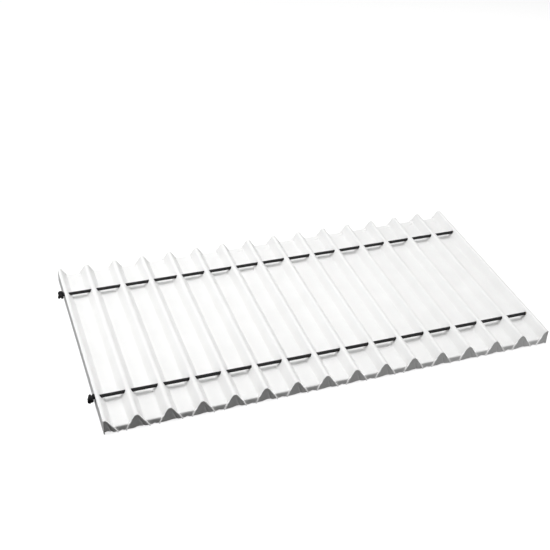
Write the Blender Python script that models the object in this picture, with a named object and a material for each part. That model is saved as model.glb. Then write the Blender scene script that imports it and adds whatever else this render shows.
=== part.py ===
"""A bracelet display pad: a ridged board under white leatherette, with two elastic cords.

Units are metres and +Z is up. The origin is the middle of the footprint, on the underside.
X runs along the pad's length and crosses the channels. Y runs along the channels, and the
front is -Y. Each cord runs the length of the pad, through every ridge. Its left end comes
out of the left side and is knotted there, and pulling the knot along -X stretches the cord.
"""
import math

import bmesh
import bpy
from mathutils import Matrix

MM = 0.001

# Driving dimensions: a full-size tray insert, 14 1/8 by 7 5/8 by 1/2 inch.
LENGTH = 358.8 * MM
WIDTH = 193.7 * MM
HEIGHT = 12.7 * MM
CHANNELS = 15
PITCH = LENGTH / CHANNELS

# The ridges' section, on the outside of the leatherette.
FLOOR_Z = 5.5 * MM
CREST_RADIUS = 2.3 * MM
EDGE_INSET = 1.3 * MM       # from the pad's side to the middle of its edge ridge's crest
FLANK_ANGLE = math.radians(58)
FOOT_RADIUS = 1.5 * MM

# Sheet thicknesses, and the gap kept between neighbouring pieces.
COVER = 0.8 * MM
FACING = 0.5 * MM
GAP = 0.3 * MM
HEM_WIDTH = 14 * MM
HEM_Z = 0.15 * MM
WINDOW_MARGIN = 0.05 * MM

# Cords: CORD_Z is their axis's height, and each inset is measured from the cord's own edge.
CORD_RADIUS = 1.2 * MM
CORD_Z = 9.9 * MM
FRONT_CORD_INSET = 29.25 * MM
REAR_CORD_INSET = 34.75 * MM
CORD_END_INSIDE = 4.0 * MM
KNOT_RADII = (2.5 * MM, 2.6 * MM, 3.0 * MM)
KNOT_DROP = 0.4 * MM
KNOT_LOBES = 3
KNOT_LOBE_DEPTH = 0.12
TAIL_RADIUS = 1.1 * MM
TAIL_LENGTH = 4.8 * MM
TAIL_LEAN = math.radians(24)

# Levels and places that follow from the values above.
HALF_LENGTH = LENGTH / 2
HALF_WIDTH = WIDTH / 2
HEM_TOP = HEM_Z + COVER
BOARD_BOTTOM = HEM_TOP + GAP
BOARD_TOP = FLOOR_Z - COVER - GAP
CORE_BOTTOM = BOARD_TOP + GAP
CORE_INSET = COVER + GAP
FACING_FRONT = HALF_WIDTH - COVER - GAP
CORE_END = FACING_FRONT - FACING - GAP
CORD_YS = {"front": FRONT_CORD_INSET - HALF_WIDTH, "rear": HALF_WIDTH - REAR_CORD_INSET}
PAST = 2 * MM               # how far a cutter runs past the piece it cuts

ARC_STEPS = 3
FOOT_STEPS = 2
CORD_SIDES = 12
HOLE_SIDES = 8


def clear_scene():
    """Remove every object that the scene holds."""
    for obj in list(bpy.data.objects):
        bpy.data.objects.remove(obj, do_unlink=True)


def make_material(name, colour, roughness):
    """A Principled material with the given colour and roughness."""
    material = bpy.data.materials.new(name)
    material.use_nodes = True
    shader = material.node_tree.nodes["Principled BSDF"]
    shader.inputs["Base Color"].default_value = (*colour, 1)
    shader.inputs["Roughness"].default_value = roughness
    shader.inputs["Metallic"].default_value = 0
    material.diffuse_color = (*colour, 1)
    return material


def add_object(name, bm, material):
    """Link a new object that holds the bmesh, with its faces pointing out."""
    bmesh.ops.recalc_face_normals(bm, faces=bm.faces)
    mesh = bpy.data.meshes.new(name)
    bm.to_mesh(mesh)
    bm.free()
    obj = bpy.data.objects.new(name, mesh)
    bpy.context.collection.objects.link(obj)
    if material:
        mesh.materials.append(material)
    return obj


def add_cutter(name, bm):
    """An object that only cuts others."""
    cutter = add_object(name, bm, None)
    cutter.hide_render = True
    cutter.display_type = 'WIRE'
    return cutter


def cut(obj, cutter, operation='DIFFERENCE'):
    """Give obj a Boolean modifier that uses the cutter."""
    modifier = obj.modifiers.new(cutter.name, 'BOOLEAN')
    modifier.object = cutter
    modifier.operation = operation
    modifier.solver = 'EXACT'


def prism(outline, y_low, y_high):
    """A bmesh of an (x, z) outline, drawn out along Y."""
    bm = bmesh.new()
    face = bm.faces.new([bm.verts.new((x, y_low, z)) for x, z in outline])
    moved = bmesh.ops.extrude_face_region(bm, geom=[face])["geom"]
    verts = [item for item in moved if isinstance(item, bmesh.types.BMVert)]
    bmesh.ops.translate(bm, verts=verts, vec=(0, y_high - y_low, 0))
    return bm


def box(low, high):
    """A bmesh of a box between two corners."""
    outline = [(low[0], low[2]), (high[0], low[2]), (high[0], high[2]), (low[0], high[2])]
    return prism(outline, low[1], high[1])


def rod(x_low, x_high, y, z, radius, sides):
    """A bmesh of a round rod along X."""
    bm = bmesh.new()
    turn = Matrix.Rotation(math.pi / 2, 4, 'Y')
    place = Matrix.Translation(((x_low + x_high) / 2, y, z))
    bmesh.ops.create_cone(bm, cap_ends=True, segments=sides, radius1=radius,
                          radius2=radius, depth=x_high - x_low, matrix=place @ turn)
    return bm


def arc(centre, radius, start, end, steps):
    """Points on an arc. An angle of 0 is straight up, and it grows towards +X."""
    angles = [start + (end - start) * i / steps for i in range(steps + 1)]
    return [(centre[0] + radius * math.sin(a), centre[1] + radius * math.cos(a))
            for a in angles]


def flank_x(inset, z):
    """A flank's distance from the crest's centre at height z, inset into the ridge."""
    rise = HEIGHT - CREST_RADIUS - z
    return (CREST_RADIUS - inset + rise * math.cos(FLANK_ANGLE)) / math.sin(FLANK_ANGLE)


def half_ridge(inset):
    """Points from a crest's middle down to the channel floor, for a crest at x = 0."""
    crest = (0, HEIGHT - CREST_RADIUS)
    points = arc(crest, CREST_RADIUS - inset, 0, FLANK_ANGLE, ARC_STEPS)
    foot = (flank_x(-FOOT_RADIUS, FLOOR_Z + FOOT_RADIUS), FLOOR_Z + FOOT_RADIUS)
    points += arc(foot, FOOT_RADIUS + inset, math.pi + FLANK_ANGLE, math.pi, FOOT_STEPS)
    return points


def mirrored(points):
    """The points on the other side of x = 0, in the opposite order."""
    return [(-x, z) for x, z in reversed(points)]


def shifted(points, x):
    """The points moved along X."""
    return [(px + x, pz) for px, pz in points]


def crest_x(index):
    """A crest's place: 0 and CHANNELS are the two edge ridges, set in from the sides."""
    if index == 0:
        return -HALF_LENGTH + EDGE_INSET
    if index == CHANNELS:
        return HALF_LENGTH - EDGE_INSET
    return -HALF_LENGTH + index * PITCH


def shoulder_arc(inset):
    """The left edge ridge's crest, from the pad's side up to its middle, at x = 0."""
    radius = CREST_RADIUS - inset
    start = -math.asin((EDGE_INSET - inset) / radius)
    return arc((0, HEIGHT - CREST_RADIUS), radius, start, 0, ARC_STEPS)


def pad_outline(inset, bottom):
    """The whole pad's section across the channels, inset all round, with a flat bottom."""
    half = half_ridge(inset)
    shoulder = shoulder_arc(inset)
    points = [(-HALF_LENGTH + inset, bottom)] + shifted(shoulder, crest_x(0))
    for index in range(CHANNELS):
        points += shifted(half, crest_x(index))[1:]
        points += shifted(mirrored(half), crest_x(index + 1))
    points += shifted(mirrored(shoulder), crest_x(CHANNELS))[1:]
    points.append((HALF_LENGTH - inset, bottom))
    return points


def ridge_outline(inset, bottom, side=0):
    """One ridge's section with straight flanks. side is -1 or 1 for an edge ridge."""
    crest = (0, HEIGHT - CREST_RADIUS)
    right = arc(crest, CREST_RADIUS - inset, 0, FLANK_ANGLE, ARC_STEPS)
    right.append((flank_x(inset, bottom), bottom))
    left = mirrored(right)
    if side:
        left = [(inset - EDGE_INSET, bottom)] + shoulder_arc(inset)
    points = left + right[1:]
    return mirrored(points) if side > 0 else points


def side_of(index):
    """-1 for the left edge ridge, 1 for the right one, 0 for the ridges between them."""
    return {0: -1, CHANNELS: 1}.get(index, 0)


def cord_cutters():
    """Holes for the two cords. They end blind inside the right edge ridge."""
    ends = (-HALF_LENGTH - PAST, HALF_LENGTH - CORD_END_INSIDE + GAP)
    return [add_cutter(f"cutter_cord_{place}",
                       rod(*ends, y, CORD_Z, CORD_RADIUS + GAP, HOLE_SIDES))
            for place, y in CORD_YS.items()]


def make_cover(material, cord_holes):
    """The leatherette: a shell over the ridges, with end flaps and a hem turned under."""
    bm = prism(pad_outline(0, HEM_Z), -HALF_WIDTH, HALF_WIDTH)
    cover = add_object("leatherette_cover", bm, material)
    inside = HALF_WIDTH - COVER
    cut(cover, add_cutter("cutter_inside", prism(pad_outline(COVER, HEM_TOP), -inside, inside)))
    opening = (HALF_LENGTH - HEM_WIDTH, HALF_WIDTH - HEM_WIDTH)
    cut(cover, add_cutter("cutter_underside", box((-opening[0], -opening[1], -PAST),
                                                  (*opening, HEM_TOP + PAST))))
    for end, sign in (("front", -1), ("rear", 1)):
        y_range = sorted((sign * (inside - GAP), sign * (HALF_WIDTH + PAST)))
        for index in range(CHANNELS + 1):
            outline = ridge_outline(COVER + WINDOW_MARGIN, BOARD_BOTTOM, side_of(index))
            window = prism(shifted(outline, crest_x(index)), *y_range)
            cut(cover, add_cutter(f"cutter_{end}_window_{index:02d}", window))
    for hole in cord_holes:
        cut(cover, hole)


def make_end_facing(name, sign, material):
    """The strip across the ridge ends, which shows as a triangle at each ridge."""
    y_range = sorted((sign * (FACING_FRONT - FACING), sign * FACING_FRONT))
    add_object(name, prism(pad_outline(CORE_INSET, BOARD_BOTTOM), *y_range), material)


def make_ridge_cores(material, cord_holes):
    """The stiff strips under the leatherette, one for each ridge."""
    names = ["left_edge_core"] + [f"ridge_core_{i:02d}" for i in range(1, CHANNELS)]
    names.append("right_edge_core")
    for index, name in enumerate(names):
        outline = ridge_outline(CORE_INSET, CORE_BOTTOM, side_of(index))
        core = add_object(name, prism(shifted(outline, crest_x(index)), -CORE_END, CORE_END),
                          material)
        for hole in cord_holes:
            cut(core, hole)


def make_base(board_material, card_material):
    """The board that carries the ridges, and the card let in between the hems."""
    half = HALF_LENGTH - CORE_INSET
    add_object("base_board", box((-half, -CORE_END, BOARD_BOTTOM), (half, CORE_END, BOARD_TOP)),
               board_material)
    card = (HALF_LENGTH - HEM_WIDTH - GAP, HALF_WIDTH - HEM_WIDTH - GAP)
    add_object("backing_card", box((-card[0], -card[1], 0), (*card, BOARD_BOTTOM - GAP)),
               card_material)


def knot_mesh():
    """A lumpy knot about its own origin, the middle of its bite on the cord."""
    bm = bmesh.new()
    bmesh.ops.create_uvsphere(bm, u_segments=16, v_segments=9, radius=1)
    for vert in bm.verts:
        around = math.atan2(vert.co.z, vert.co.y)
        swell = 1 + KNOT_LOBE_DEPTH * math.cos(KNOT_LOBES * around + 2 * vert.co.x)
        vert.co = [swell * radius * value for radius, value in zip(KNOT_RADII, vert.co)]
    return bm


def tail_mesh():
    """The cord's cut end, which hangs from the knot and leans outwards."""
    bm = bmesh.new()
    lean = Matrix.Rotation(TAIL_LEAN, 4, 'Y')
    hang = Matrix.Translation((0, 0, -TAIL_LENGTH / 2))
    bmesh.ops.create_cone(bm, cap_ends=True, segments=CORD_SIDES, radius1=TAIL_RADIUS,
                          radius2=TAIL_RADIUS, depth=TAIL_LENGTH, matrix=lean @ hang)
    return bm


def make_cord(place, y, material):
    """One elastic cord, and the knot on its left end."""
    ends = (-HALF_LENGTH, HALF_LENGTH - CORD_END_INSIDE)
    cord = add_object(f"{place}_elastic", rod(*ends, y, CORD_Z, CORD_RADIUS, CORD_SIDES), material)
    cord.data.shade_smooth()
    knot = add_object(f"{place}_knot", knot_mesh(), material)
    tail = add_cutter(f"union_{place}_tail", tail_mesh())
    lobes = 1 + KNOT_LOBE_DEPTH
    knot.location = (-HALF_LENGTH - GAP - lobes * KNOT_RADII[0], y, CORD_Z - KNOT_DROP)
    tail.location = knot.location
    cut(knot, tail, 'UNION')
    knot.data.shade_smooth()


def build():
    """Make every piece of the pad."""
    clear_scene()
    white = make_material("white_leatherette", (0.92, 0.92, 0.91), 0.5)
    black = make_material("black_elastic", (0.018, 0.018, 0.02), 0.75)
    wood = make_material("ridge_wood", (0.74, 0.60, 0.42), 0.7)
    board = make_material("grey_board", (0.46, 0.43, 0.39), 0.85)
    card = make_material("backing_card", (0.80, 0.79, 0.76), 0.8)
    holes = cord_cutters()
    make_base(board, card)
    make_ridge_cores(wood, holes)
    make_end_facing("front_end_facing", -1, white)
    make_end_facing("rear_end_facing", 1, white)
    make_cover(white, holes)
    for place, y in CORD_YS.items():
        make_cord(place, y, black)


build()
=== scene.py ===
"""The looks of a bracelet display pad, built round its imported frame.

Lengths here are in millimetres until mesh_object() turns them into metres. X runs along the
pad and crosses the channels, Y runs along the channels with the front at -Y, and +Z is up.
The leatherette is one sheet. It is laid over 16 ridges, cut at each ridge's ends, folded
down between them and turned under as a hem.
"""
import math

import bmesh
import bpy
import numpy as np
from mathutils import Euler, Matrix, Vector


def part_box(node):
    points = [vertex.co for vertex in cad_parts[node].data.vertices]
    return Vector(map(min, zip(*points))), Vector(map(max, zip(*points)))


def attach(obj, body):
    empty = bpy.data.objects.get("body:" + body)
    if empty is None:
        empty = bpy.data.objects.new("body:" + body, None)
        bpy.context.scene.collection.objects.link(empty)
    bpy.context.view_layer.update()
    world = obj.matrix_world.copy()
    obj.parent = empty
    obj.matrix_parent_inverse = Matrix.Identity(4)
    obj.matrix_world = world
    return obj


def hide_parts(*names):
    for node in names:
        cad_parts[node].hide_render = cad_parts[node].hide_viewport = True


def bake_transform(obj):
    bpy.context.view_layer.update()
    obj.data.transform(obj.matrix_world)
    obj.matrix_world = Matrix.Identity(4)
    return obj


MM = 0.001
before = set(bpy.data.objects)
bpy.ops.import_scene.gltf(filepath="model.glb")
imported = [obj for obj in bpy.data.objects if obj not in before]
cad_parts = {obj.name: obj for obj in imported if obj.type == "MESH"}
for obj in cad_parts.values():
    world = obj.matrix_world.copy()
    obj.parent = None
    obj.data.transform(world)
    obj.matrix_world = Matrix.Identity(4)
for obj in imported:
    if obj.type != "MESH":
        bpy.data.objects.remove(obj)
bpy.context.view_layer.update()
cover_low, cover_high = (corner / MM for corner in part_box("leatherette_cover"))
cord_low, cord_high = (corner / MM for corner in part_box("front_elastic"))
rear_low, rear_high = (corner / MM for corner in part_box("rear_elastic"))

# The pad's outside, from the frame.
HALF_LENGTH = cover_high.x
HALF_WIDTH = cover_high.y
HEIGHT = cover_high.z
HEM_Z = cover_low.z
CORD_YS = {"front": (cord_low.y + cord_high.y) / 2, "rear": (rear_low.y + rear_high.y) / 2}
CORD_Z = (cord_low.z + cord_high.z) / 2
CORD_RADIUS = (cord_high.z - cord_low.z) / 2
CORD_END = cord_high.x

# The ridges' section, as in the CAD model.
CHANNELS = 15
PITCH = 2 * HALF_LENGTH / CHANNELS
FLOOR_Z = 5.5
CREST_RADIUS = 2.3
EDGE_INSET = 1.3
FLANK_ANGLE = math.radians(58)
FOOT_RADIUS = 1.5
CREST_Z = HEIGHT - CREST_RADIUS
SHOULDER_ANGLE = math.asin(EDGE_INSET / CREST_RADIUS)

# The sheet: its thickness, its fold over the front and rear edges, and its hem.
SHEET = 0.6
FOLD_RADIUS = 1.1
BEND_RADIUS = 0.5                   # at the lower edges, where the hems turn under
HEM_WIDTH = 13.7
MITRE_GAP = 3.2                     # how much narrower a side hem is than its way to the end
NARROWEST_HEM = 0.9
SLIT_FOOT = 8.6                     # from a crest to the foot of the cut beside it
EDGE_DEPTH = 0.25                   # from the sheet's outside to the middle of its cut edge
EDGE_STEP = 0.35                    # between two rings of a cut edge
EDGE_SIDES = 8

# The strips that close the ridges' ends.
FACING_SHEET = 0.4
FACING_DEPTH = 0.7                  # from the flaps' outside in to the facing's flat places
FACING_STEP = 0.42
FACING_LEVELS = 17
FACING_SHOWN = (9.6, 10.3)          # from a crest, where the facing goes in behind the flaps
FACING_UNDER_Z = 1.15               # the height of the part that is turned under

# The cords, their braid and their holes.
CORD_SHOWN = 1.07 * CORD_RADIUS     # the braid, which swells a little where it is free
CORD_SIDES = 20
CORD_STEP = 0.35
CORD_OUT = 1.2                      # how far it runs out of the left side, into its knot
KNOT_SIDES = 16
KNOT_VOXEL = 0.11
STRANDS = 4
STRAND_PITCH = 3.4
STRAND_RELIEF = 0.045
HOLE_RADIUS = CORD_SHOWN + 0.12
DIMPLE_DEPTH = 0.16
DIMPLE_WIDTH = 0.8

DENSE = 16                          # samples of the exact section in each step of the mesh


# ---------------------------------------------------------------- small helpers

def mesh_object(name, points, faces, smooth=True):
    """An object whose mesh has these points, given in millimetres."""
    mesh = bpy.data.meshes.new(name)
    mesh.from_pydata((np.asarray(points, float) * MM).tolist(), [], faces)
    mesh.validate()
    if smooth:
        mesh.shade_smooth()
    obj = bpy.data.objects.new(name, mesh)
    bpy.context.scene.collection.objects.link(obj)
    return obj


def apply_modifiers(obj):
    """Turn the object's modifiers into plain geometry."""
    graph = bpy.context.evaluated_depsgraph_get()
    mesh = bpy.data.meshes.new_from_object(obj.evaluated_get(graph))
    obj.modifiers.clear()
    obj.data = mesh


def thicken(obj, thickness):
    """Give a sheet its thickness, on the side away from its normals."""
    solid = obj.modifiers.new("thickness", 'SOLIDIFY')
    solid.thickness = thickness * MM
    solid.offset = -1
    apply_modifiers(obj)


def ripples(a, b, seed, wavelength, count=14):
    """A smooth random height, about -1 to 1, over the plane of a and b."""
    rng = np.random.default_rng(seed)
    total = np.zeros(np.broadcast(a, b).shape)
    for _ in range(count):
        direction = rng.uniform(0, 2 * math.pi)
        wave = 2 * math.pi / (wavelength * rng.uniform(0.7, 1.5))
        phase = rng.uniform(0, 2 * math.pi)
        total = total + np.cos(wave * (a * math.cos(direction) + b * math.sin(direction)) + phase)
    return total / math.sqrt(2 * count)


def smooth_step(value, low, high):
    """0 below low, 1 above high and smooth between them."""
    t = np.clip((value - low) / (high - low), 0, 1)
    return t * t * (3 - 2 * t)


# ---------------------------------------------------------------- the pad's section

def crest_x(index):
    """A ridge's place. The two edge ridges are set in from the sides."""
    if index == 0:
        return -HALF_LENGTH + EDGE_INSET
    if index == CHANNELS:
        return HALF_LENGTH - EDGE_INSET
    return -HALF_LENGTH + index * PITCH


CRESTS = np.array([crest_x(index) for index in range(CHANNELS + 1)])


def nearest_crest(x):
    """The nearest crest's number for each x."""
    return np.argmin(np.abs(np.asarray(x)[..., None] - CRESTS), axis=-1)


def flank_x(inset, z):
    """A flank's distance from the crest's middle at height z, inset into the ridge."""
    return (CREST_RADIUS - inset + (CREST_Z - z) * math.cos(FLANK_ANGLE)) / math.sin(FLANK_ANGLE)


def line(start, end, steps):
    """A straight stretch of the section."""
    t = np.linspace(0, 1, steps * DENSE + 1)[:, None]
    return np.array(start) * (1 - t) + np.array(end) * t


def arc(centre, radius, start, end, steps):
    """A round stretch of the section. An angle of 0 is straight up, growing towards +X."""
    a = np.linspace(start, end, steps * DENSE + 1)
    return np.stack([centre[0] + radius * np.sin(a), centre[1] + radius * np.cos(a)], 1)


FOOT = (flank_x(-FOOT_RADIUS, FLOOR_Z + FOOT_RADIUS), FLOOR_Z + FOOT_RADIUS)
SLIT_TOP = (FOOT[0] - FOOT_RADIUS * math.sin(FLANK_ANGLE / 2),
            FOOT[1] - FOOT_RADIUS * math.cos(FLANK_ANGLE / 2))
FILLET_STEPS = 6
FLOOR_STEPS = 8


def half_ridge():
    """A ridge's stretches from its crest down to the floor, for a crest at x = 0."""
    flank_top = arc((0, CREST_Z), CREST_RADIUS, 0, FLANK_ANGLE, 1)[-1]
    fillet = arc(FOOT, FOOT_RADIUS, math.pi + FLANK_ANGLE, math.pi, FILLET_STEPS)
    hole = (flank_x(0, CORD_Z), CORD_Z)
    return [("crest", arc((0, CREST_Z), CREST_RADIUS, 0, FLANK_ANGLE, 6)),
            ("flank_top", line(flank_top, hole, 4)),
            ("flank", line(hole, fillet[0], 8)),
            ("fillet", fillet)]


def reflected(stretches):
    """The stretches mirrored in x = 0, in the opposite order."""
    return [(name, (points * (-1, 1))[::-1]) for name, points in reversed(stretches)]


def moved(stretches, x):
    """The stretches moved along X."""
    return [(name, points + (x, 0)) for name, points in stretches]


def side_wall():
    """The left side's stretches from the hem's inner edge up to the shoulder's top."""
    left, corner = -HALF_LENGTH, (-HALF_LENGTH + BEND_RADIUS, HEM_Z + BEND_RADIUS)
    shoulder = arc((crest_x(0), CREST_Z), CREST_RADIUS, -SHOULDER_ANGLE, 0, 5)
    return [("hem", line((left + HEM_WIDTH, HEM_Z), (corner[0], HEM_Z), 14)),
            ("bend", arc(corner, BEND_RADIUS, math.pi, 1.5 * math.pi, 4)),
            ("wall", line((left, corner[1]), (left, CORD_Z - 2), 9)),
            ("wall", line((left, CORD_Z - 2), (left, CORD_Z), 4)),
            ("wall_top", line((left, CORD_Z), shoulder[0], 5)),
            ("shoulder", shoulder)]


class Section:
    """The sheet's outline across the channels, with u as the length along it."""

    def __init__(self):
        half = half_ridge()
        stretches = side_wall()
        for index in range(CHANNELS):
            left, right = crest_x(index) + FOOT[0], crest_x(index + 1) - FOOT[0]
            stretches += moved(half, crest_x(index))
            stretches.append(("floor", line((left, FLOOR_Z), (right, FLOOR_Z), FLOOR_STEPS)))
            stretches += moved(reflected(half), crest_x(index + 1))
        stretches += reflected(side_wall())
        points, columns, starts = [stretches[0][1][:1]], [0], []
        for name, stretch in stretches:
            starts.append((name, len(columns) - 1))
            points.append(stretch[1:])
            steps = (len(stretch) - 1) // DENSE
            columns += [columns[-1] + DENSE * (i + 1) for i in range(steps)]
        self.points = np.concatenate(points)
        step = np.linalg.norm(np.diff(self.points, axis=0), axis=1)
        self.length = np.concatenate([[0], np.cumsum(step)])
        tangent = np.gradient(self.points, axis=0)
        tangent /= np.linalg.norm(tangent, axis=1)[:, None]
        self.normals = np.stack([-tangent[:, 1], tangent[:, 0]], 1)
        self.columns = self.length[columns]
        self.starts = starts

    def at(self, u):
        """x, z and the outward normal's x and z at each u."""
        return [np.interp(u, self.length, column) for column in
                (*self.points.T, *self.normals.T)]

    def column(self, name, number):
        """The column where the numbered stretch of that name starts."""
        return [start for found, start in self.starts if found == name][number]

    def slits(self):
        """For each channel, the columns halfway down the two fillets beside its floor."""
        fillets = [start for name, start in self.starts if name == "fillet"]
        middles = [start + FILLET_STEPS // 2 for start in fillets]
        return list(zip(middles[::2], middles[1::2]))

    def hole_columns(self):
        """The columns at the cords' height: the left side and both flanks of each ridge."""
        left = [start for name, start in self.starts if name == "wall_top"][:1]
        down = [start for name, start in self.starts if name == "flank"]
        right_going = down[::2]
        left_going = [start + 8 for start in down[1::2]]
        return left + right_going + left_going

    def length_at_foot(self, index, side):
        """u where a ridge's fillet meets the floor, on its left (-1) or right (1)."""
        floors = [start for name, start in self.starts if name == "floor"]
        column = floors[index] if side > 0 else floors[index - 1] + FLOOR_STEPS
        return self.columns[column]


section = Section()


# ---------------------------------------------------------------- rows along the channels

FINE, COARSE = 0.5, 2.2
FINE_REACH = 3              # how far from a fine place the rows stay close
ROW_GROWTH = 0.16           # how much the rows' step grows for each millimetre beyond
HELD_ROWS = 4               # rows at a march's start that keep the fine step exactly


def march(start, stop, fine_places):
    """Row places from start to stop, close together near the fine places."""
    places, direction = [start], math.copysign(1, stop - start)
    while (stop - places[-1]) * direction > FINE / 2:
        far = max(0, min(abs(places[-1] - place) for place in fine_places) - FINE_REACH)
        places.append(places[-1] + direction * min(COARSE, FINE + ROW_GROWTH * far))
    held, rest = places[:HELD_ROWS], np.array(places[HELD_ROWS:])
    share = (rest - rest[0]) / (rest[-1] - rest[0])
    return held + (rest[0] + share * (stop - rest[0])).tolist()


def row_places():
    """The rows' Y, from the front fold to the rear fold, with rows on both cords."""
    end = HALF_WIDTH - FOLD_RADIUS
    front, rear = CORD_YS.values()
    fine = (front, rear, end, end - 4, -end, 4 - end)
    halves = [march(front, -end, fine)[::-1], march(front, 0, fine)[1:],
              march(rear, 0, fine)[-2:0:-1], march(rear, end, fine)]
    return np.concatenate(halves)


# ---------------------------------------------------------------- the sheet's small shapes

def open_cord_holes(u, y, rows, columns):
    """Draw the grid's lines into rings round each cord hole. Returns the faces to leave out."""
    gone = set()
    hole_ring = 2
    pull = {hole_ring: 1, 3: 0.8, 4: 0.45, 5: 0.15}
    near, open_faces = range(-max(pull), max(pull) + 1), range(-hole_ring, hole_ring)
    for row in (int(np.argmin(abs(rows - place))) for place in CORD_YS.values()):
        for column in columns:
            centre_u, centre_y = u[column, row], y[column, row]
            stretch = 1 if column == columns[0] else 1 / math.sin(FLANK_ANGLE)
            for di in near:
                for dj in near:
                    ring = max(abs(di), abs(dj))
                    if ring < hole_ring:
                        continue
                    i, j = column + di, row + dj
                    du, dy = u[i, j] - centre_u, y[i, j] - centre_y
                    angle = math.atan2(dy, du / stretch)
                    radius = HOLE_RADIUS + (ring - hole_ring) * FINE * 1.1
                    u[i, j] += pull[ring] * (radius * stretch * math.cos(angle) - du)
                    y[i, j] += pull[ring] * (radius * math.sin(angle) - dy)
            gone.update((column + di, row + dj) for di in open_faces for dj in open_faces)
    return gone


def hole_dimples(u, y, centres):
    """How far the sheet is drawn in round each hole, as a height below zero."""
    depth = np.zeros(u.shape)
    for centre_u, centre_y in centres:
        near = np.hypot(u - centre_u, y - centre_y) - HOLE_RADIUS
        depth -= DIMPLE_DEPTH * np.exp(-np.clip(near, 0, None) / DIMPLE_WIDTH)
    return depth


def crease(along, inward, start, stop):
    """The height of one short crease from start to stop: a valley with a low fold beside it."""
    way = stop - start
    t = ((along - start[0]) * way[0] + (inward - start[1]) * way[1]) / way.dot(way)
    off = ((along - start[0]) * way[1] - (inward - start[1]) * way[0]) / np.linalg.norm(way)
    fade = smooth_step(t, -0.15, 0.2) * (1 - smooth_step(t, 0.85, 1.15))
    fold, valley = 0.15 * np.exp(-((off - 1.2) / 0.6) ** 2), 0.5 * np.exp(-(off / 0.5) ** 2)
    return fade * (fold - valley)


def end_creases(u, y):
    """The creases at each ridge's ends: one down the flank to the foot, and a dash beside it."""
    depth = np.zeros(u.shape)
    rng = np.random.default_rng(7)
    strength = {(-1, -1): 0.45, (-1, 1): 0.45, (1, -1): 1.5, (1, 1): 0.35}
    dash = (2.0, 0.4)
    feet = [(section.length_at_foot(index, side), side)
            for index in range(CHANNELS + 1) for side in (-1, 1)
            if 0 <= index + (side - 1) // 2 < CHANNELS]
    for foot_u, side in feet:
        for end in (-1, 1):
            inward = HALF_WIDTH - end * y
            along = (u - foot_u) * side
            reach = rng.uniform(5.6, 7.4)
            start = np.array([rng.uniform(-2.6, -1.8), reach - rng.uniform(1.8, 2.8)])
            stop = np.array([rng.uniform(0.8, 1.6), reach])
            size = rng.uniform(0.75, 1.25) * strength[end, side]
            depth += size * crease(along, inward, start, stop)
            depth += 0.8 * size * crease(along, inward, stop, stop + dash)
    return depth


def sheet_relief(u, y):
    """The leatherette's small unevenness over the board."""
    relief = 0.05 * ripples(u, y * 0.35, 3, 16) + 0.016 * ripples(u, y, 5, 4.5)
    first, last = section.column("shoulder", 0), section.column("shoulder", 1)
    u_left, u_right = section.columns[first], section.columns[last]
    on_side = 1 - smooth_step(u, u_left - 1, u_left + 2) + smooth_step(u, u_right, u_right + 3)
    wrinkles = 0.10 * ripples(u * 0.8, y, 11, 7) + 0.05 * ripples(u, y, 12, 3)
    u_end = section.length[-1]
    off_hems = smooth_step(u, 12, 17) * smooth_step(u_end - u, 12, 17)
    return relief + on_side * wrinkles * off_hems


# ---------------------------------------------------------------- the leatherette cover

def slit_offset(index, side, z):
    """How far the cut beside a ridge is from its crest at height z. It is cut by hand."""
    foot = SLIT_FOOT + 0.35 * side + 0.3 * math.sin(5.3 * index + 2.1 * side)
    return SLIT_TOP[0] + (foot - SLIT_TOP[0]) * (SLIT_TOP[1] - z) / SLIT_TOP[1]


def slit_x(index, side, z):
    """The cut's X at height z, left (-1) or right (1) of a ridge."""
    return crest_x(index) + side * slit_offset(index, side, z)


def bottom_wave(x, end):
    """How far the lower edge of the flaps and facings stands up from the surface."""
    index = nearest_crest(x)
    away = x - CRESTS[index]
    rng = np.random.default_rng(23 if end < 0 else 24)
    tuck = rng.uniform(0.6, 1.4, CHANNELS + 1)
    tuck[0] = 2.0
    flap = rng.uniform(0.3, 0.9, CHANNELS + 1)
    under_ridge = np.exp(-((away - 1.4) / 3.0) ** 2)
    under_floor = np.exp(-((np.abs(away) - PITCH / 2) / 2.2) ** 2)
    wave = 0.35 + 0.12 * ripples(x, 0 * x, 21, 6)
    wave = wave + tuck[index] * under_ridge + flap[index] * under_floor
    lowest, highest = 0.05, 2.4
    return np.clip(wave, lowest, highest)


FOLD_ROWS, FACE_ROWS, BEND_ROWS, HEM_ROWS = 6, 7, 4, 8


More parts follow.
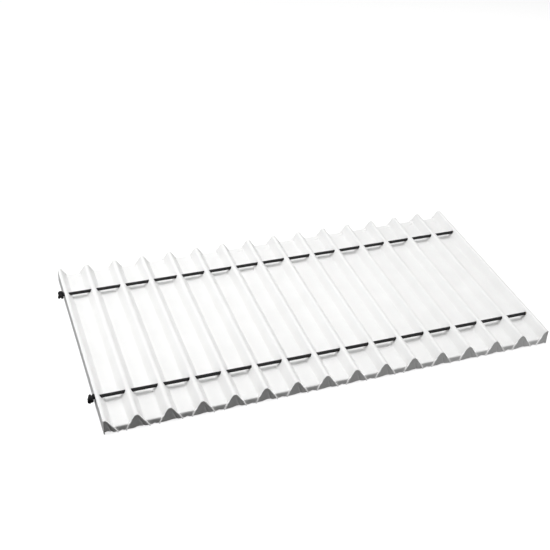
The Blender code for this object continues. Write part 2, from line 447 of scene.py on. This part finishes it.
def flap_rows(x0, z0, channel, end):
    """Points of one flap: over the edge, down the front or rear and under, row by row."""
    fold = np.linspace(0, math.pi / 2, FOLD_ROWS + 1)[1:]
    rows = [(HALF_WIDTH - FOLD_RADIUS + FOLD_RADIUS * math.sin(a),
             z0 - FOLD_RADIUS * (1 - math.cos(a))) for a in fold]
    lowest = HEM_Z + bottom_wave(x0, end)
    top = rows[-1][1]
    for t in np.linspace(0, 1, FACE_ROWS + 1)[1:]:
        rows.append((HALF_WIDTH, top + (lowest + BEND_RADIUS - top) * t))
    for a in np.linspace(0, math.pi / 2, BEND_ROWS + 1)[1:]:
        rows.append((HALF_WIDTH - BEND_RADIUS * (1 - math.cos(a)),
                     lowest + BEND_RADIUS * (1 - math.sin(a))))
    for t in np.linspace(0, 1, HEM_ROWS + 1)[1:]:
        drop = (lowest - HEM_Z) * (1 - smooth_step(t, 0, 0.4))
        rows.append((HALF_WIDTH - BEND_RADIUS - t * (HEM_WIDTH - BEND_RADIUS),
                     HEM_Z + drop + 0 * x0))
    share = (x0 - x0[0]) / (x0[-1] - x0[0])
    curl = 0.16 * np.abs(2 * share - 1) ** 6
    face_end = FOLD_ROWS + FACE_ROWS
    points = []
    for depth, (y, z) in enumerate(rows):
        z = z + 0 * x0
        down = np.clip(z0.min() - z.mean(), 0, z0.min() - HEM_Z)
        left = slit_x(channel, 1, z0.min() - down) + x0[0] - slit_x(channel, 1, z0[0])
        right = slit_x(channel + 1, -1, z0.min() - down) + x0[-1] - slit_x(channel + 1, -1, z0[-1])
        x = left + share * (right - left)
        face = smooth_step(depth, 3, 8) * (1 - smooth_step(depth, face_end, face_end + 5))
        bulge = face * (0.09 * ripples(x, z, 31, 8) - 0.05 - curl)
        points.append(np.stack([x, end * (y - bulge), z], 1))
    return points


def make_cover():
    """The one sheet of leatherette, with its flaps, hem and cord holes."""
    rows = row_places()
    u, y = np.meshgrid(section.columns, rows, indexing="ij")
    hole_columns = section.hole_columns()
    centres = [(section.columns[c], place) for c in hole_columns for place in CORD_YS.values()]
    gone = open_cord_holes(u, y, rows, hole_columns)
    x, z, normal_x, normal_z = section.at(u)
    height = sheet_relief(u, y) + hole_dimples(u, y, centres) + end_creases(u, y)
    columns, count = u.shape
    mitre_hems(x, y)
    points = [np.stack([x + normal_x * height, y, z + normal_z * height], 2).reshape(-1, 3)]
    number = np.arange(columns * count).reshape(columns, count)
    faces = [(number[i, j], number[i + 1, j], number[i + 1, j + 1], number[i, j + 1])
             for i in range(columns - 1) for j in range(count - 1) if (i, j) not in gone]
    total = columns * count
    slits = section.slits()
    edges = [0] + [column for pair in slits for column in pair] + [columns - 1]
    ridge_places = (HALF_WIDTH - FOLD_RADIUS / 2, HALF_WIDTH - 0.1, HALF_WIDTH)
    for end, row in ((-1, 0), (1, count - 1)):
        base = points[0].reshape(columns, count, 3)[:, row]
        for zone in range(len(edges) - 1):
            first, last = edges[zone], edges[zone + 1]
            strip = base[first:last + 1]
            if zone % 2:
                new_rows = flap_rows(strip[:, 0], strip[:, 2], zone // 2, end)
            else:
                new_rows = [np.stack([strip[:, 0], 0 * strip[:, 0] + end * place, strip[:, 2]], 1)
                            for place in ridge_places]
            before = number[first:last + 1, row]
            for new in new_rows:
                after = np.arange(total, total + len(new))
                total += len(new)
                points.append(new)
                for i in range(len(new) - 1):
                    quad = (before[i], before[i + 1], after[i + 1], after[i])
                    faces.append(quad if end > 0 else quad[::-1])
                before = after
    faces = [tuple(int(n) for n in face) for face in faces]
    points = np.concatenate(points)
    cover = mesh_object("leatherette_sheet", points, faces)
    drop_loose(cover)
    thicken(cover, SHEET)
    return cover


def mitre_hems(x, y):
    """Narrow the side hems towards the corners, to leave room for the end hems."""
    hem_steps = section.column("bend", 0)
    from_end = HALF_WIDTH - np.abs(y)
    width = np.clip(from_end - MITRE_GAP, NARROWEST_HEM, HEM_WIDTH)
    for columns, side in ((slice(0, hem_steps), -1), (slice(-hem_steps, None), 1)):
        inset = HALF_LENGTH - side * x[columns]
        share = (inset - BEND_RADIUS) / (HEM_WIDTH - BEND_RADIUS)
        inset = BEND_RADIUS + share * (width[columns] - BEND_RADIUS)
        x[columns] = side * (HALF_LENGTH - inset)


def drop_loose(obj):
    """Remove points that no face uses."""
    bm = bmesh.new()
    bm.from_mesh(obj.data)
    bmesh.ops.delete(bm, geom=[v for v in bm.verts if not v.link_faces], context='VERTS')
    bm.to_mesh(obj.data)
    bm.free()


# ---------------------------------------------------------------- end facings and cut edges

def surface_z(x, inset):
    """The pad's height at x, inset below the leatherette's outside."""
    away = np.abs(x - CRESTS[nearest_crest(x)])
    radius = CREST_RADIUS - inset
    crest = CREST_Z + np.sqrt(np.clip(radius ** 2 - away ** 2, 0, None))
    flank = CREST_Z - (away * math.sin(FLANK_ANGLE) - radius) / math.cos(FLANK_ANGLE)
    on_crest = away < radius * math.sin(FLANK_ANGLE)
    return np.maximum(np.where(on_crest, crest, flank), FLOOR_Z - inset)


def make_facing(end):
    """The strip of leatherette across the ridge ends, at the front (-1) or the rear (1)."""
    rng = np.random.default_rng(41 + end)
    limit = HALF_LENGTH - SHEET - 0.05
    x = np.arange(-limit, limit + 0.2, FACING_STEP)
    index = nearest_crest(x)
    away = x - CRESTS[index]
    top = surface_z(x, SHEET + 0.02)
    shown = 1 - smooth_step(np.abs(away), *FACING_SHOWN)
    foot = np.where(shown > 0, HEM_Z + bottom_wave(x, end) * shown, 0)
    foot = foot + (1 - shown) * FACING_UNDER_Z
    pulled = np.exp(-np.arange(CHANNELS + 1) / 3)
    crease_place = rng.uniform(0.5, 1.1, CHANNELS + 1) + 0.7 * pulled
    lean = rng.uniform(0.24, 0.34, CHANNELS + 1) + 0.1 * pulled
    crease_depth = rng.uniform(0.35, 0.6, CHANNELS + 1) + 0.5 * pulled
    swell = rng.uniform(0.55, 0.75, CHANNELS + 1)
    points = []
    for level in range(FACING_LEVELS):
        z = foot + (top - foot) * level / (FACING_LEVELS - 1)
        half = np.clip(flank_x(SHEET, z), 0.5, None)
        across = np.clip(np.abs(away) / half, 0, 1)
        rise = np.clip((z - HEM_Z) / (HEIGHT - HEM_Z), 0, 1)
        bulge = swell[index] * (1 - 0.25 * across ** 4) * shown * (1 - 0.6 * rise ** 3)
        off = away - crease_place[index] - lean[index] * (9 - z)
        fold = smooth_step(10 - z, 0, 5) * shown
        width = np.where(off < 0, 0.35, 0.6)
        bulge -= crease_depth[index] * fold * np.exp(-(off / width) ** 2)
        bulge += 0.06 * shown * ripples(x, z, 51 + end, 4)
        y = HALF_WIDTH - FACING_DEPTH + np.clip(bulge, -0.55, FACING_DEPTH - 0.05)
        points.append(np.stack([x, end * y, z], 1))
    under = []
    for t in np.linspace(0, 1, 10)[1:]:
        z = foot + (FACING_UNDER_Z - foot) * smooth_step(t, 0.05, 0.6)
        y = HALF_WIDTH - FACING_DEPTH - 0.3 - t * (HEM_WIDTH - 2)
        under.append(np.stack([x, end * (y + 0 * x), z], 1))
    grid = under[::-1] + points
    number = np.arange(len(grid) * len(x)).reshape(len(grid), len(x))
    faces = []
    for i in range(len(grid) - 1):
        for j in range(len(x) - 1):
            quad = (number[i, j], number[i, j + 1], number[i + 1, j + 1], number[i + 1, j])
            quad = tuple(int(n) for n in quad)
            faces.append(quad if end < 0 else quad[::-1])
    name = "front_facing_strip" if end < 0 else "rear_facing_strip"
    facing = mesh_object(name, np.concatenate(grid), faces)
    thicken(facing, FACING_SHEET)
    return facing


def tube(points, radii, sides):
    """Vertices and faces of a closed tube, with a radius for each point, or point and side."""
    points = np.asarray(points, float)
    tangents = np.gradient(points, axis=0)
    tangents /= np.linalg.norm(tangents, axis=1)[:, None]
    up = np.array([0, 0, 1.0]) if abs(tangents[0][2]) < 0.9 else np.array([0, 1.0, 0])
    side = np.cross(tangents[0], up)
    side /= np.linalg.norm(side)
    rings, angles = [], np.arange(sides) * 2 * math.pi / sides
    for place, tangent, radius in zip(points, tangents, radii):
        side = side - tangent * side.dot(tangent)
        side /= np.linalg.norm(side)
        other = np.cross(tangent, side)
        ring = np.cos(angles)[:, None] * side + np.sin(angles)[:, None] * other
        rings.append(place + ring * np.reshape(radius, (-1, 1)))
    vertices = np.concatenate(rings)
    faces = []
    for i in range(len(points) - 1):
        for j in range(sides):
            k = (j + 1) % sides
            faces.append((i * sides + j, (i + 1) * sides + j, (i + 1) * sides + k, i * sides + k))
    faces.append(tuple(range(sides)))
    faces.append(tuple(reversed(range(len(vertices) - sides, len(vertices)))))
    return vertices, faces


def end_half(index, side):
    """The cut edge on one side of a ridge's end, from the bottom up to the crest."""
    crest = arc((0, CREST_Z), CREST_RADIUS - EDGE_DEPTH, FLANK_ANGLE, 0, 1)
    if side == {0: -1, CHANNELS: 1}.get(index):
        rise = np.linspace(HEM_Z + 0.5, CREST_Z + CREST_RADIUS * math.cos(SHOULDER_ANGLE), 20)
        low = np.stack([0 * rise + EDGE_INSET - EDGE_DEPTH, rise - EDGE_DEPTH], 1)
        crest = arc((0, CREST_Z), CREST_RADIUS - EDGE_DEPTH, SHOULDER_ANGLE / 2, 0, 1)
    else:
        rise = np.linspace(HEM_Z + 0.3, SLIT_TOP[1], 12)
        cut = np.stack([slit_offset(index, side, rise), rise], 1)
        rise = np.linspace(FOOT[1] + 0.2, crest[0][1], 10)
        low = np.concatenate([cut, np.stack([flank_x(EDGE_DEPTH / 2, rise), rise], 1)])
    return np.concatenate([low, crest]) * (side, 1)


def even_path(path, step):
    """The path's points again, an even step apart."""
    length = np.concatenate([[0], np.cumsum(np.linalg.norm(np.diff(path, axis=0), axis=1))])
    even = np.linspace(0, length[-1], int(length[-1] / step))
    return np.stack([np.interp(even, length, column) for column in path.T], 1)


def make_cut_edges(end):
    """The sheet's cut edge, a thin pale line round each ridge's end and down its flaps."""
    rng = np.random.default_rng(61 + end)
    all_points, all_faces, total = [], [], 0
    for index in range(CHANNELS + 1):
        path = np.concatenate([end_half(index, -1), end_half(index, 1)[::-1]])
        x, z = (even_path(path, EDGE_STEP) + (crest_x(index), 0)).T
        low = 1 - smooth_step(z, 6, 9)
        wander = ripples(x, z, int(rng.integers(1000)), 3)
        away = x - crest_x(index)
        shown = np.maximum(low, 0.8 * smooth_step(away, 0.5, 2.5))
        at_corner = away * {0: -1, CHANNELS: 1}.get(index, 0) > 0
        shown = np.where(at_corner, 0, shown)
        y = HALF_WIDTH - 0.05 + 0.5 * shown + 0.05 * wander
        radii = 0.14 + 0.3 * shown + 0.03 * ripples(x, z, int(rng.integers(1000)), 1.6)
        vertices, faces = tube(np.stack([x, end * y, z], 1), radii, EDGE_SIDES)
        all_points.append(vertices)
        all_faces += [tuple(n + total for n in face) for face in faces]
        total += len(vertices)
    name = "front_cut_edges" if end < 0 else "rear_cut_edges"
    return mesh_object(name, np.concatenate(all_points), all_faces)


# ---------------------------------------------------------------- elastic cords and knots

def braid_radii(lengths, sides, radius):
    """A braided cord's radius at each length and side: two sets of crossing strands."""
    angles = np.arange(sides) * 2 * math.pi / sides
    along = np.asarray(lengths)[:, None] * 2 * math.pi / STRAND_PITCH
    one = np.sin(STRANDS * angles[None] + along)
    two = np.sin(STRANDS * angles[None] - along)
    strands = np.maximum(np.abs(one), np.abs(two)) ** 2
    return radius * (1 - STRAND_RELIEF + STRAND_RELIEF * strands)


def make_elastic(place, y):
    """One elastic cord, straight through the ridges from its knot to the right edge."""
    xs = np.arange(-HALF_LENGTH - CORD_OUT, CORD_END, CORD_STEP)
    xs = np.append(xs[:-1], CORD_END)
    points = np.stack([xs, y + 0 * xs, CORD_Z + 0 * xs], 1)
    vertices, faces = tube(points, braid_radii(xs, CORD_SIDES, CORD_SHOWN), CORD_SIDES)
    cord = mesh_object(f"{place}_braided_cord", vertices, faces)
    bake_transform(cord)
    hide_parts(f"{place}_elastic")
    return cord


# Each knot's height over its cord, its turn in degrees, its loose end's aim and length, and
# the size of its loops.
KNOTS = {"front": (-0.3, (20, 12, -14), (-0.55, -0.35, -1), 3.6, 1.05),
         "rear": (0.4, (-25, 8, 20), (-0.25, -0.5, -0.55), 2.2, 0.84)}


def knot_route(place, centre):
    """The cord's middle line through an overhand knot, from its hole to its loose end."""
    lift, turn, aim, tail_length, loop_size = KNOTS[place]
    turn = Euler([math.radians(angle) for angle in turn]).to_matrix()
    centre = Vector(centre) + Vector((0, 0, lift))
    loop = []
    for t in np.linspace(0.32, 2 * math.pi - 0.20, 90):
        ring = 2 + math.cos(3 * t)
        offset = Vector((1.15 * math.sin(3 * t), ring * math.cos(2 * t), ring * math.sin(2 * t)))
        loop.append(centre + turn @ (offset * loop_size))
    entry = [Vector((-HALF_LENGTH + 1.0, centre.y, CORD_Z)),
             Vector((-HALF_LENGTH - 0.1, centre.y, CORD_Z))]
    aim = Vector(aim).normalized()
    tail = [loop[-1] + aim * far for far in np.linspace(0, tail_length, 5)[1:]]
    return smooth_route(entry + loop + tail)


def smooth_route(points):
    """A Catmull-Rom curve through the points."""
    points = np.array([tuple(p) for p in points])
    padded = np.concatenate([[2 * points[0] - points[1]], points, [2 * points[-1] - points[-2]]])
    curve = []
    for a, b, c, d in zip(padded, padded[1:], padded[2:], padded[3:]):
        for t in (0, 0.5):
            curve.append(0.5 * (2 * b + (c - a) * t + (2 * a - 5 * b + 4 * c - d) * t ** 2
                                + (3 * b - a - 3 * c + d) * t ** 3))
    curve.append(points[-1])
    return np.array(curve)


def make_knot(place, y):
    """The knot outside the left side, with its short loose end."""
    low, high = (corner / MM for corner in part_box(f"{place}_knot"))
    route = knot_route(place, ((low.x + high.x) / 2 + 0.5, y, CORD_Z))
    steps = np.concatenate([[0], np.cumsum(np.linalg.norm(np.diff(route, axis=0), axis=1))])
    radii = braid_radii(steps, KNOT_SIDES, CORD_RADIUS * 0.9)
    vertices, faces = tube(route, radii, KNOT_SIDES)
    knot = mesh_object(f"{place}_tied_knot", vertices, faces)
    remesh = knot.modifiers.new("union", 'REMESH')
    remesh.mode = 'VOXEL'
    remesh.voxel_size = KNOT_VOXEL * MM
    apply_modifiers(knot)
    smooth = knot.modifiers.new("soften", 'SMOOTH')
    smooth.factor = 0.5
    smooth.iterations = 2
    apply_modifiers(knot)
    knot.data.shade_smooth()
    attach(knot, f"{place}_cord_end")
    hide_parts(f"{place}_knot")
    return knot


# ---------------------------------------------------------------- materials

class Nodes:
    """A new Principled material and short ways to add nodes to it."""

    def __init__(self, name, colour, roughness, **values):
        self.material = bpy.data.materials.new(name)
        self.material.use_nodes = True
        self.material.diffuse_color = (*colour, 1)
        self.tree = self.material.node_tree
        self.shader = self.tree.nodes["Principled BSDF"]
        self.shader.inputs["Base Color"].default_value = (*colour, 1)
        self.shader.inputs["Roughness"].default_value = roughness
        for key, value in values.items():
            self.shader.inputs[key.replace("_", " ")].default_value = value
        self.place = self.tree.nodes.new("ShaderNodeTexCoord").outputs["Object"]

    def add(self, kind, **inputs):
        """A node of that kind with these inputs set or linked."""
        node = self.tree.nodes.new(kind)
        for key, value in inputs.items():
            self.set(node, key.replace("_", " "), value)
        return node

    def set(self, node, key, value):
        """Set one input, or link it if the value is a socket."""
        if isinstance(value, bpy.types.NodeSocket):
            self.tree.links.new(value, node.inputs[key])
        else:
            node.inputs[key].default_value = value

    def scaled(self, scale):
        """Object coordinates times a scale for each axis."""
        mapping = self.add("ShaderNodeMapping", Vector=self.place, Scale=scale)
        return mapping.outputs["Vector"]

    def noise(self, scale, detail, vector=None):
        """A noise texture's value."""
        node = self.add("ShaderNodeTexNoise", Vector=vector or self.place, Scale=scale,
                        Detail=detail)
        return node.outputs["Fac"]

    def cells(self, scale):
        """Distance from the middle of each cell, for grain."""
        node = self.add("ShaderNodeTexVoronoi", Vector=self.place, Scale=scale)
        return node.outputs["Distance"]

    def ramp(self, value, stops):
        """The value through a colour ramp of (place, colour) stops."""
        node = self.add("ShaderNodeValToRGB", Fac=value)
        elements = node.color_ramp.elements
        while len(elements) < len(stops):
            elements.new(0.5)
        for element, (place, colour) in zip(elements, stops):
            element.position = place
            element.color = (*colour, 1)
        return node.outputs["Color"]

    def colour(self, socket):
        """Drive the base colour."""
        self.tree.links.new(socket, self.shader.inputs["Base Color"])

    def roughness(self, value, low, high):
        """Drive the roughness between two values."""
        node = self.add("ShaderNodeMapRange", Value=value, To_Min=low, To_Max=high)
        self.tree.links.new(node.outputs["Result"], self.shader.inputs["Roughness"])

    def bump(self, height, distance, strength):
        """Add relief of that height in millimetres."""
        node = self.add("ShaderNodeBump", Height=height, Distance=distance * MM,
                        Strength=strength)
        earlier = self.shader.inputs["Normal"]
        if earlier.is_linked:
            self.tree.links.new(earlier.links[0].from_socket, node.inputs["Normal"])
        self.tree.links.new(node.outputs["Normal"], earlier)


def leatherette(name, colour, darker):
    """White leatherette: fine pebble grain, a soft sheen and faint unevenness of tone."""
    m = Nodes(name, colour, 0.46, Specular_IOR_Level=0.4)
    m.colour(m.ramp(m.noise(45, 4), [(0.3, darker), (0.7, colour)]))
    m.roughness(m.noise(320, 3), 0.4, 0.56)
    m.bump(m.cells(1500), 0.05, 0.45)
    m.bump(m.noise(700, 4), 0.05, 0.35)
    return m.material


def cut_fabric():
    """The pale woven backing along a cut edge, with a painted glow: a faint emission that
    brightens the edges where they stand in shade.
    """
    # The emission below is painted light, not a lamp: it lifts the cut edges on the shaded ridge
    # ends.
    m = Nodes("cut_edge_painted_glow", (0.93, 0.93, 0.92), 0.8, Specular_IOR_Level=0.25,
              Emission_Color=(1, 1, 1, 1), Emission_Strength=0.26)
    m.colour(m.ramp(m.noise(2600, 3), [(0.35, (0.86, 0.86, 0.85)), (0.65, (0.96, 0.96, 0.95))]))
    m.bump(m.noise(4200, 3), 0.06, 0.5)
    return m.material


def black_elastic():
    """Matte black braid, with fine fibres that catch a little light."""
    m = Nodes("black_elastic_braid", (0.018, 0.018, 0.02), 0.72, Specular_IOR_Level=0.2,
              Sheen_Weight=0.06, Sheen_Roughness=0.5)
    fibres = m.noise(1, 3, m.scaled((900, 5200, 5200)))
    m.colour(m.ramp(fibres, [(0.3, (0.010, 0.010, 0.011)), (0.75, (0.034, 0.033, 0.034))]))
    m.roughness(m.noise(1800, 2), 0.62, 0.82)
    m.bump(fibres, 0.06, 0.6)
    return m.material


def pressed_board(name, colour, fleck):
    """Card or board: pressed fibres with pale and dark flecks."""
    m = Nodes(name, colour, 0.85, Specular_IOR_Level=0.25)
    fibres = m.noise(9, 6, m.scaled((160, 160, 160)))
    pale = tuple(min(1, c * 1.08) for c in colour)
    m.colour(m.ramp(fibres, [(0.32, fleck), (0.5, colour), (0.72, pale)]))
    m.roughness(m.noise(900, 2), 0.78, 0.92)
    m.bump(m.noise(2400, 4), 0.05, 0.5)
    return m.material


def bare_wood():
    """Pale wood with its grain along the ridge."""
    m = Nodes("pale_ridge_wood", (0.74, 0.60, 0.42), 0.68, Specular_IOR_Level=0.3)
    grain = m.noise(1, 5, m.scaled((900, 22, 900)))
    m.colour(m.ramp(grain, [(0.3, (0.60, 0.46, 0.30)), (0.7, (0.80, 0.67, 0.48))]))
    m.bump(grain, 0.06, 0.5)
    return m.material


def paint(obj, material):
    """Give a piece its material."""
    obj.data.materials.clear()
    obj.data.materials.append(material)


# ---------------------------------------------------------------- camera, light and floor

def make_camera():
    """The camera, in front and to the left, looking down on the pad."""
    data = bpy.data.cameras.new("camera")
    data.sensor_width = 36
    data.lens = 64.74
    data.shift_x = -0.0444
    data.shift_y = 0.0167
    data.clip_start, data.clip_end = 0.01, 20
    camera = bpy.data.objects.new("camera", data)
    bpy.context.scene.collection.objects.link(camera)
    elevation, azimuth, roll = math.radians(35.199), math.radians(-22.449), math.radians(3.715)
    aim = Matrix.Rotation(azimuth, 4, 'Z') @ Matrix.Rotation(math.pi / 2 - elevation, 4, 'X')
    place = Matrix.Translation(Vector((-249.99, -606.41, 490.35)) * MM)
    camera.matrix_world = place @ aim @ Matrix.Rotation(roll, 4, 'Z')
    bpy.context.scene.camera = camera


def make_light(name, place, target, size, power):
    """One soft area light aimed at a point. Its places and size are in metres."""
    data = bpy.data.lights.new(name, 'AREA')
    data.shape = 'RECTANGLE'
    data.size, data.size_y = size
    data.energy = power
    light = bpy.data.objects.new(name, data)
    bpy.context.scene.collection.objects.link(light)
    light.location = place
    light.rotation_euler = (Vector(target) - Vector(place)).to_track_quat('-Z', 'Y').to_euler()


def make_stage():
    """The pale floor, the world's soft light and the studio lights."""
    half, drop = 6000, 0.05
    corners = [(-half, -half, 0), (half, -half, 0), (half, half, 0), (-half, half, 0)]
    floor = mesh_object("floor", corners, [(0, 1, 2, 3)], smooth=False)
    floor.location.z = -drop * MM
    m = Nodes("pale_floor", (0.5, 0.5, 0.5), 0.8, Specular_IOR_Level=0.1,
              Emission_Color=(1, 1, 1, 1), Emission_Strength=0.8)
    floor.data.materials.append(m.material)
    floor.visible_diffuse = False
    floor.visible_glossy = False
    world = bpy.data.worlds.new("studio")
    bpy.context.scene.world = world
    world.use_nodes = True
    background = world.node_tree.nodes["Background"]
    background.inputs["Color"].default_value = (1, 1, 1, 1)
    background.inputs["Strength"].default_value = 0.04
    make_light("key", (-0.33, 0.34, 0.5), (-0.07, 0.1, 0), (0.6, 1.5), 3.5)
    make_light("right", (0.45, 0.2, 0.5), (0.1, 0.05, 0), (0.5, 0.8), 1.3)
    make_light("over", (-0.12, -0.02, 0.7), (-0.1, -0.05, 0), (0.6, 0.6), 3.1)
    make_light("left", (-0.62, 0.02, 0.1), (-0.18, 0, 0), (0.1, 0.5), 0.93)
    make_light("fill", (0.26, -0.42, 0.08), (0.05, -0.09, 0), (0.3, 0.1), 0.36)
    bpy.context.scene.view_settings.view_transform = 'Standard'


# ---------------------------------------------------------------- the whole pad

def dress_pad():
    """Make every soft piece and give each CAD piece that shows its material."""
    white = leatherette("white_leatherette_grain", (0.90, 0.90, 0.895), (0.86, 0.86, 0.855))
    # The facings get a slightly darker copy of the same leatherette: painted shade for the ridge
    # ends, which face away from the lights.
    shaded_facing_white = leatherette("facing_leatherette_painted_shade", (0.88, 0.88, 0.875),
                               (0.84, 0.84, 0.835))
    painted_glow_white, black = cut_fabric(), black_elastic()
    cover = make_cover()
    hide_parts("leatherette_cover")
    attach(cover, "pad")
    paint(cover, white)
    for end, place in ((-1, "front"), (1, "rear")):
        facing, edges = make_facing(end), make_cut_edges(end)
        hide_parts(f"{place}_end_facing")
        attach(facing, "pad")
        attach(edges, "pad")
        paint(facing, shaded_facing_white)
        paint(edges, painted_glow_white)
        paint(make_elastic(place, CORD_YS[place]), black)
        paint(make_knot(place, CORD_YS[place]), black)
    board = pressed_board("grey_board_fibre", (0.46, 0.43, 0.39), (0.34, 0.32, 0.29))
    card = pressed_board("backing_card_fibre", (0.78, 0.77, 0.74), (0.70, 0.69, 0.66))
    wood = bare_wood()
    materials = {"base_board": board, "backing_card": card}
    for name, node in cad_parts.items():
        if not node.hide_render:
            node.data.materials.clear()
            node.data.materials.append(materials.get(name, wood))


make_camera()
make_stage()
dress_pad()
